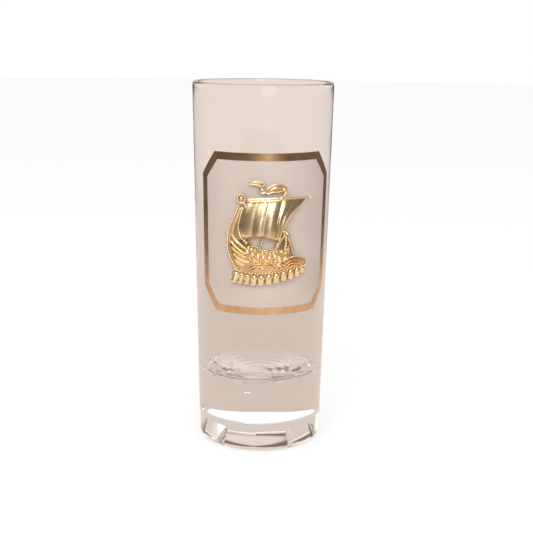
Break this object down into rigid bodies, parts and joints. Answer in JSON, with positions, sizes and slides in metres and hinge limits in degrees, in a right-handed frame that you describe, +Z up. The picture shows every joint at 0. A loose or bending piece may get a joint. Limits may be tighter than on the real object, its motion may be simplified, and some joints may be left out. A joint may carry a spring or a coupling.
{
  "type": "shot glass",
  "caption": "Tall tapered clear shot glass with a heavy base, a frosted panel in a gold frame on its front, and a cast gold ship badge glued on the panel.",
  "frame": {"origin": "on the glass's axis, in the plane that the glass stands on", "axes": "+Z up along the glass's axis, towards the mouth; the panel and the badge face -Y; +X to the right seen from the front"},
  "size_m": [0.0402, 0.0425, 0.105],
  "materials": {
    "clear_glass": "clear, pressed and fire polished",
    "frosted_print": "frosted, translucent",
    "gold_print": "bright fired gold",
    "gold_casting": "gold plated, polished relief",
    "clear_glue": "clear adhesive"
  },
  "bodies": {
    "root": {"glass_tumbler": "clear_glass", "frosted_panel": "frosted_print", "gold_border": "gold_print", "ship_badge": "gold_casting", "badge_adhesive": "clear_glue"}
  },
  "joints": []
}
